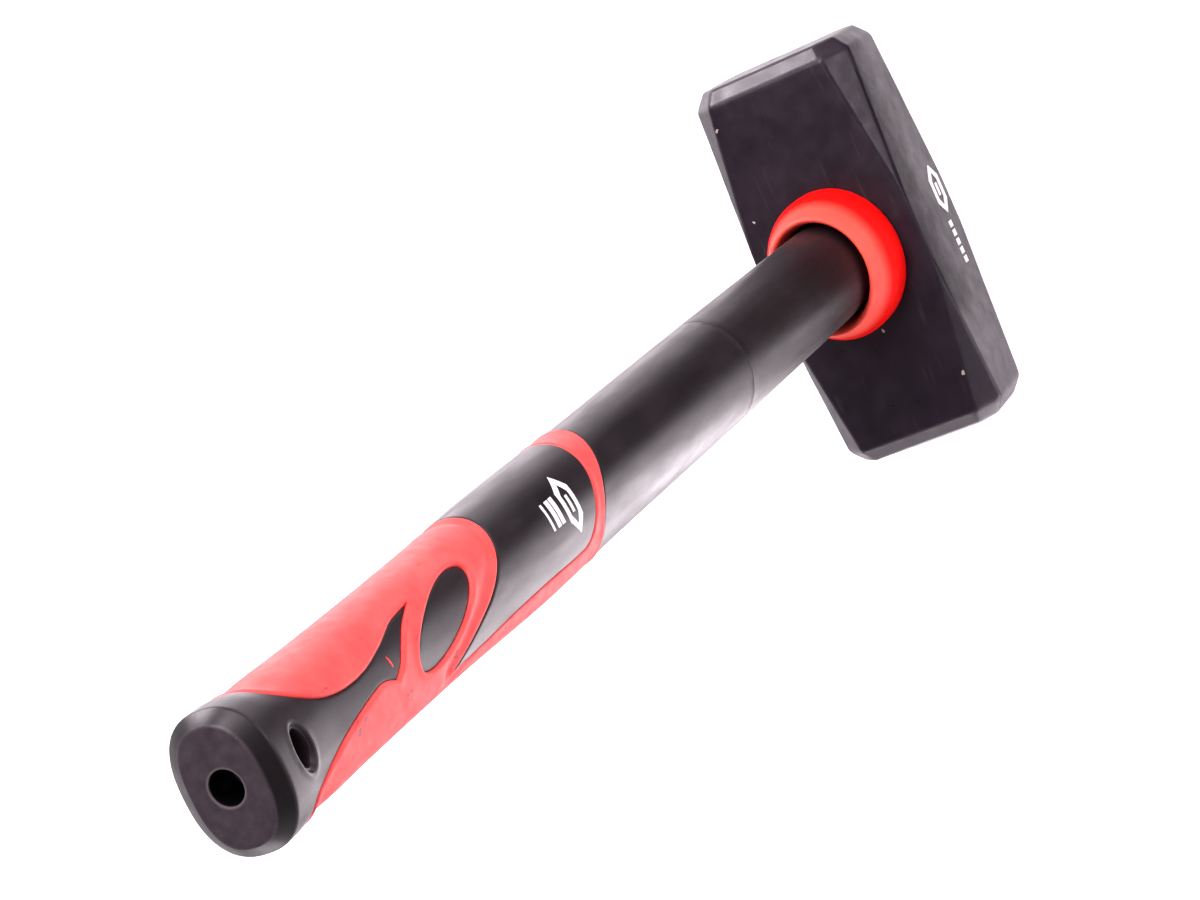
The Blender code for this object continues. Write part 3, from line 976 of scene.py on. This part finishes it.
def build_sliver(material):
    """A sliver of red flash left on the flame."""
    work = Surface()
    angles = circle(20)
    (x, z), (half_x, half_z), lean = SLIVER
    rows = []
    for grow, height in ((1.0, -0.12), (0.9, 0.06), (0.5, 0.12)):
        flat_x = x + half_x * grow * np.cos(angles)
        flat_z = z + half_z * grow * np.sin(angles) + lean * (flat_x - x)
        rows.append(skin_points(angle_at(flat_x, flat_z), flat_z, height - FLAME_SINK))
    first, last = work.loft(rows)
    work.faces += [tuple(first[::-1]), tuple(last)]
    return finish_piece(closed_mesh("flash_sliver", work), material, "red_soft_rubber")


# ---- materials

NOISE_ROUGHNESS = 0.55


def feed(tree, socket, value):
    """Gives a shader node's input a number, a tuple or another node's output."""
    if isinstance(value, bpy.types.NodeSocket):
        tree.links.new(value, socket)
    else:
        socket.default_value = value


def add_node(tree, kind, inputs, **settings):
    """A shader node with its inputs fed."""
    node = tree.nodes.new("ShaderNode" + kind)
    for name, value in settings.items():
        setattr(node, name, value)
    for name, value in inputs.items():
        feed(tree, node.inputs[name], value)
    return node


def add_remap(tree, value, source, target):
    """A value moved from one range to another and held within it."""
    inputs = {"Value": value, "From Min": source[0], "From Max": source[1]}
    inputs.update({"To Min": target[0], "To Max": target[1]})
    return add_node(tree, "MapRange", inputs).outputs["Result"]


class Look:
    """A node material with short ways to add what every surface here needs."""

    def __init__(self, name, colour, roughness, specular=0.5, metallic=0.0):
        self.material = bpy.data.materials.new(name)
        self.material.use_nodes = True
        self.tree = self.material.node_tree
        self.shader = self.tree.nodes["Principled BSDF"]
        self.set("Base Color", (*colour, 1.0))
        self.set("Roughness", roughness)
        self.set("Specular IOR Level", specular)
        self.set("Metallic", metallic)
        self.place = self.tree.nodes.new("ShaderNodeTexCoord").outputs["Object"]

    def set(self, name, value):
        feed(self.tree, self.shader.inputs[name], value)

    def noise(self, size_mm, detail=3.0, stretch=(1.0, 1.0, 1.0)):
        """Noise whose features are about size_mm across."""
        moved = add_node(self.tree, "Mapping", {"Vector": self.place, "Scale": stretch})
        inputs = {"Vector": moved.outputs["Vector"], "Scale": 1.0 / (size_mm * MM)}
        inputs.update({"Detail": detail, "Roughness": NOISE_ROUGHNESS})
        return add_node(self.tree, "TexNoise", inputs).outputs["Fac"]

    def height(self):
        """The Z of the shaded point, in metres."""
        return add_node(self.tree, "SeparateXYZ", {"Vector": self.place}).outputs["Z"]

    def radius(self):
        """Distance of the shaded point from the handle's axis, in metres."""
        flat = add_node(self.tree, "VectorMath", {0: self.place, 1: (1.0, 1.0, 0.0)}, operation="MULTIPLY")
        inputs = {0: flat.outputs["Vector"]}
        return add_node(self.tree, "VectorMath", inputs, operation="LENGTH").outputs["Value"]

    def both(self, first, second):
        """Product of two masks."""
        return add_node(self.tree, "Math", {0: first, 1: second}, operation="MULTIPLY").outputs["Value"]

    def remap(self, value, low, high, to_low=0.0, to_high=1.0):
        return add_remap(self.tree, value, (low, high), (to_low, to_high))

    def blend(self, share, first, second):
        """Colour between two, each a colour or another blend's output."""
        node = add_node(self.tree, "Mix", {"Factor": share}, data_type="RGBA")
        for name, value in (("A", first), ("B", second)):
            socket = [s for s in node.inputs if s.name == name and s.type == "RGBA"][0]
            feed(self.tree, socket, (*value, 1.0) if isinstance(value, tuple) else value)
        return [s for s in node.outputs if s.type == "RGBA"][0]

    def bumps(self, *layers):
        """Bump layers: (height, distance in mm, strength)."""
        above = {}
        for height, distance, strength in layers:
            inputs = {"Height": height, "Distance": distance * MM, "Strength": strength, **above}
            above = {"Normal": add_node(self.tree, "Bump", inputs).outputs["Normal"]}
        self.set("Normal", above["Normal"])


def painted_steel():
    look = Look("painted_forged_steel", (0.012, 0.008, 0.012), 0.34, 0.24)
    patches = look.noise(14.0, 4.0)
    colour = look.blend(look.remap(patches, 0.3, 0.7), (0.008, 0.005, 0.009), (0.016, 0.010, 0.017))
    streaks = look.noise(1.6, 3.0, (0.12, 1.0, 1.0))
    colour = look.blend(look.remap(streaks, 0.62, 0.8, 0.0, 0.35), colour, (0.06, 0.05, 0.05))
    look.set("Base Color", colour)
    look.set("Roughness", look.remap(look.noise(5.0, 4.0), 0.3, 0.7, 0.27, 0.42))
    look.bumps((look.noise(9.0, 2.0), 0.35, 0.25), (look.noise(1.1, 3.0), 0.06, 0.3))
    return look.material


def black_plastic():
    """Satin moulded plastic; the bevel at the butt is darker as painted shade, the end face greyer as
    painted light with a painted highlight round the axial hole, and the bore black as painted shade.
    """
    look = Look("black_polypropylene", (0.008, 0.005, 0.006), 0.37, 0.23)
    patches = look.noise(18.0, 3.0)
    colour = look.blend(look.remap(patches, 0.3, 0.7), (0.006, 0.004, 0.005), (0.012, 0.008, 0.010))
    # Painted shade: the bevel above the butt's rim is given a darker colour where it shows dark.
    bevel = look.remap(look.height(), BUTT_RIM_Z * MM, (BUTT_RIM_Z + 0.3) * MM)
    colour = look.blend(bevel, colour, (0.0035, 0.0022, 0.0028))
    # Painted light: the end face is given a greyer, mottled colour where it shows lighter.
    end_face = look.remap(look.height(), (BODY_HIGH[2] - 0.45) * MM, (BODY_HIGH[2] - 0.15) * MM)
    grain = look.remap(look.noise(2.2, 6.0), 0.35, 0.7)
    grain = look.blend(grain, (0.024, 0.0175, 0.022), (0.037, 0.029, 0.034))
    colour = look.blend(end_face, colour, grain)
    # Painted highlight: a paler ring on the end face round the axial hole's rounded edge.
    painted_highlight_ring = look.remap(look.radius(), (AXIAL_HOLE + 0.55) * MM, (AXIAL_HOLE + 0.25) * MM, 0.0, 0.6)
    colour = look.blend(look.both(end_face, painted_highlight_ring), colour, (0.10, 0.09, 0.095))
    # Painted shade: the bore inside the axial hole is painted near black.
    inside = look.remap(look.radius(), (AXIAL_HOLE + 0.06) * MM, AXIAL_HOLE * MM)
    colour = look.blend(inside, colour, (0.0004, 0.0003, 0.0004))
    specks = look.remap(look.noise(0.9, 2.0), 0.72, 0.78, 0.0, 0.35)
    colour = look.blend(specks, colour, (0.10, 0.09, 0.095))
    look.set("Base Color", colour)
    scuffs = look.noise(3.2, 4.0, (1.0, 1.0, 0.2))
    look.set("Roughness", look.remap(scuffs, 0.3, 0.75, 0.31, 0.45))
    look.bumps((look.noise(0.55, 2.0), 0.03, 0.35), (look.noise(7.0, 2.0), 0.2, 0.12))
    return look.material


def soft_rubber():
    """Matte red rubber with a fine grain, faint dirt in its pores and a few dark scuffs."""
    look = Look("red_soft_rubber", (0.80, 0.045, 0.04), 0.55, 0.33)
    patches = look.noise(7.0, 4.0)
    colour = look.blend(look.remap(patches, 0.32, 0.68), (0.88, 0.060, 0.052), (0.74, 0.034, 0.031))
    grime = look.remap(look.noise(1.1, 5.0, (1.0, 1.0, 0.5)), 0.64, 0.8, 0.0, 0.4)
    colour = look.blend(grime, colour, (0.36, 0.016, 0.018))
    scuffs = look.remap(look.noise(2.6, 3.0, (1.0, 1.0, 0.45)), 0.655, 0.71, 0.0, 0.7)
    colour = look.blend(scuffs, colour, (0.16, 0.012, 0.015))
    look.set("Base Color", colour)
    look.set("Roughness", look.remap(look.noise(2.5, 3.0), 0.3, 0.7, 0.5, 0.64))
    look.bumps((look.noise(0.45, 3.0), 0.07, 0.5), (look.noise(4.0, 2.0), 0.25, 0.15))
    return look.material


# The collar's rim is painted lighter and its wall darker where light falls on them: painted light and
# painted shade.
PAINTED_LIGHT_HEIGHTS = (0.047, 0.051)  # heights, in metres, over which the collar's colour changes


def collar_plastic():
    """Red plastic painted deep red and less glossy low on its wall as painted shade, and paler and glossier
    on its rounded rim as painted light.
    """
    look = Look("red_collar_plastic", (0.88, 0.020, 0.014), 0.5, 0.2)
    patches = look.remap(look.noise(9.0, 3.0), 0.3, 0.7)
    # Painted shade on the wall and painted light on the rim: a shaded and a lit copy of one red.
    painted_shade_red = look.blend(patches, (0.90, 0.004, 0.003), (0.78, 0.003, 0.002))
    painted_light_red = look.blend(patches, (0.92, 0.085, 0.055), (0.86, 0.065, 0.042))
    look.set("Base Color", look.blend(look.remap(look.height(), *PAINTED_LIGHT_HEIGHTS), painted_shade_red, painted_light_red))
    look.set("Specular IOR Level", look.remap(look.height(), *PAINTED_LIGHT_HEIGHTS, 0.03, 0.2))
    look.set("Roughness", look.remap(look.noise(3.0, 3.0), 0.3, 0.7, 0.46, 0.6))
    look.bumps((look.noise(0.7, 2.0), 0.03, 0.3))
    return look.material


def white_print():
    look = Look("white_print", (0.82, 0.82, 0.82), 0.55, 0.3)
    worn = look.remap(look.noise(0.9, 4.0), 0.68, 0.8, 0.0, 0.5)
    look.set("Base Color", look.blend(worn, (0.84, 0.84, 0.84), (0.35, 0.34, 0.34)))
    look.bumps((look.noise(0.5, 2.0), 0.02, 0.3))
    return look.material


def bare_steel():
    look = Look("bare_steel_chip", (0.55, 0.5, 0.45), 0.45, 0.5, 0.6)
    look.set("Base Color", look.blend(look.noise(0.4, 3.0), (0.62, 0.56, 0.5), (0.32, 0.27, 0.22)))
    look.bumps((look.noise(0.3, 2.0), 0.05, 0.5))
    return look.material


def potting_resin():
    look = Look("potting_resin", (0.30, 0.22, 0.09), 0.3, 0.5)
    clouds = look.noise(3.5, 4.0)
    look.set("Base Color", look.blend(clouds, (0.36, 0.27, 0.12), (0.20, 0.15, 0.07)))
    look.bumps((look.noise(2.0, 3.0), 0.25, 0.35))
    return look.material


def glass_fibre():
    look = Look("glass_fibre_rod", (0.62, 0.58, 0.36), 0.5, 0.5)
    strands = look.noise(0.35, 3.0, (1.0, 1.0, 0.02))
    strand_share = look.remap(strands, 0.35, 0.65)
    look.set("Base Color", look.blend(strand_share, (0.72, 0.68, 0.45), (0.42, 0.38, 0.20)))
    look.bumps((strands, 0.05, 0.5))
    return look.material


def studio_floor():
    """A white light-table surface."""
    look = Look("studio_floor", (0.80, 0.80, 0.80), 0.9, 0.1)
    look.set("Base Color", look.blend(look.noise(60.0, 3.0), (0.80, 0.80, 0.80), (0.78, 0.78, 0.79)))
    look.set("Emission Color", (*STUDIO_TINT, 1.0))
    look.set("Emission Strength", FLOOR_GLOW)
    return look.material


def dark_card():
    look = Look("dark_card", (0.03, 0.027, 0.03), 0.9, 0.0)
    return look.material


# ---- studio

def add_camera():
    data = bpy.data.cameras.new("camera")
    camera = add_object("camera", data)
    forward = Vector(CAMERA_FORWARD).normalized()
    right = Vector(CAMERA_RIGHT)
    right = (right - forward * right.dot(forward)).normalized()
    up = right.cross(forward)
    turn = Matrix((right, up, -forward)).transposed().to_4x4()
    camera.matrix_world = Matrix.Translation(Vector(CAMERA_PLACE)) @ turn
    data.lens = CAMERA_LENS
    data.sensor_width = SENSOR_WIDTH
    data.clip_start = 0.01
    data.clip_end = 20.0
    bpy.context.scene.camera = camera


def add_area(name, place, target, size, radiance, lights_matte):
    """A soft box that the camera doesn't see, of the given radiance."""
    data = bpy.data.lights.new(name, "AREA")
    data.shape = "RECTANGLE"
    data.size = size[0]
    data.size_y = size[1]
    data.energy = radiance * math.pi * size[0] * size[1]
    data.color = STUDIO_TINT
    lamp = add_object(name, data)
    lamp.location = place
    lamp.rotation_mode = "QUATERNION"
    lamp.rotation_quaternion = (Vector(target) - Vector(place)).to_track_quat("-Z", "Y")
    lamp.visible_camera = False
    lamp.visible_diffuse = lights_matte


def add_plane(name, low, high, z, material):
    mesh = bpy.data.meshes.new(name)
    corners = [(x, y, z) for x, y in (low, (high[0], low[1]), high, (low[0], high[1]))]
    mesh.from_pydata(corners, [], [(0, 1, 2, 3)])
    mesh.materials.append(material)
    plane = add_object(name, mesh)
    return plane


def add_world():
    """White near the horizon and below, dim overhead."""
    world = bpy.data.worlds.new("studio")
    world.use_nodes = True
    tree = world.node_tree
    place = tree.nodes.new("ShaderNodeTexCoord").outputs["Generated"]
    rise = add_node(tree, "SeparateXYZ", {"Vector": place}).outputs["Z"]
    level = add_remap(tree, rise, WORLD_FADE, (WORLD_LOW, WORLD_HIGH))
    tree.links.new(level, tree.nodes["Background"].inputs["Strength"])
    tree.nodes["Background"].inputs["Color"].default_value = (*STUDIO_TINT, 1.0)
    bpy.context.scene.world = world


def add_studio():
    add_plane("studio_floor", (-FLOOR_HALF, -FLOOR_HALF), (FLOOR_HALF, FLOOR_HALF), FLOOR_Z, studio_floor())
    card = add_plane("dark_card", *CARD, dark_card())
    card.visible_camera = False
    card.visible_diffuse = False
    card.visible_shadow = False
    add_world()
    for box in SOFT_BOXES:
        add_area(*box)
    for name, place, *rest in TABLE_LIGHTS:
        add_area(name, place, (place[0], place[1], 1.0), *rest)
    bpy.context.scene.view_settings.view_transform = "Standard"


def main():
    add_camera()
    black = black_plastic()
    white = white_print()
    build_head(painted_steel())
    build_specks(bare_steel())
    build_collar(collar_plastic())
    build_sleeve(black)
    grip = Grip()
    rubber = soft_rubber()
    build_soft_grip(grip, rubber)
    build_sliver(rubber)
    build_handle_body(grip, black)
    build_panel_mark(white)
    build_cheek_mark(white)
    for node, material in (("eye_resin", potting_resin()), ("core_rod", glass_fibre())):
        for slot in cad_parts[node].material_slots:
            slot.material = material
    add_studio()


main()
